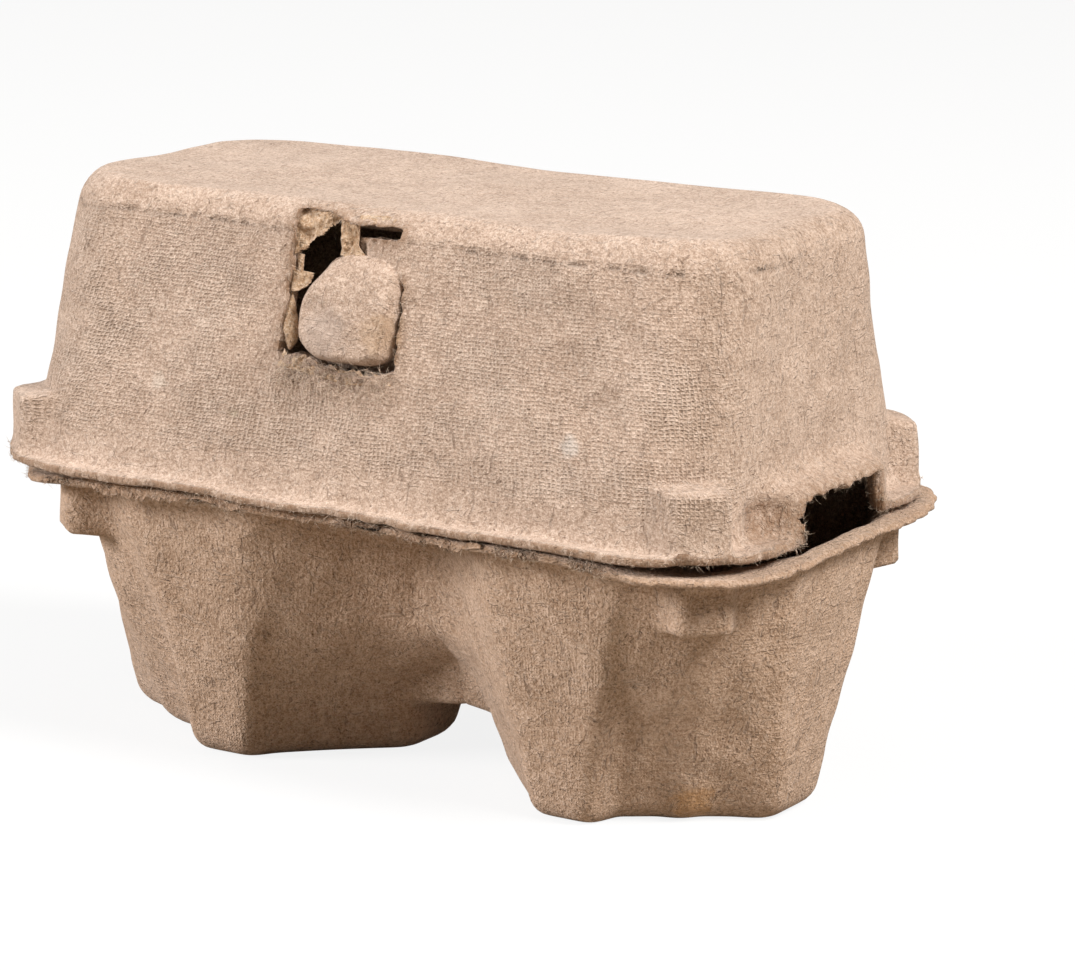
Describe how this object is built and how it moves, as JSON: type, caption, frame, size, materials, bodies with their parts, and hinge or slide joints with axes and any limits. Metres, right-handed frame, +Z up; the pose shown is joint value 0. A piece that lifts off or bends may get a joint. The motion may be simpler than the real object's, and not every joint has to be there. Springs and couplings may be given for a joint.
{
  "type": "egg carton",
  "caption": "Small moulded-pulp egg box: cupped tray, hinged lid with end vents and nesting lugs, and a latch flap whose button snaps into a window in the lid.",
  "frame": {"origin": "centre of the box's footprint on the plane its feet stand on", "axes": "+Z up, +X along the box to its right end as seen from the latch, +Y from the latch side to the hinge"},
  "size_m": [0.1, 0.06, 0.065],
  "materials": {
    "pulp_tray": "matt fibrous pulp",
    "pulp_lid": "matt fibrous pulp",
    "pulp_latch": "matt fibrous pulp"
  },
  "bodies": {
    "tray": {"tray": "pulp_tray"},
    "lid": {"lid": "pulp_lid"},
    "latch_flap": {"latch_flap": "pulp_latch"}
  },
  "joints": [
    {"name": "lid_hinge", "type": "hinge", "parent": "tray", "child": "lid", "pos_m": [0, 0.03, 0.03235], "axis": [-1, 0, 0], "range_deg": [0, 175], "deforming": ["latch_flap"]},
    {"name": "latch_press", "type": "hinge", "parent": "tray", "child": "latch_flap", "pos_m": [0, -0.0258, 0.03235], "axis": [-1, 0, 0], "range_deg": [0, 12], "stiffness_Nm_per_rad": 0.01}
  ]
}
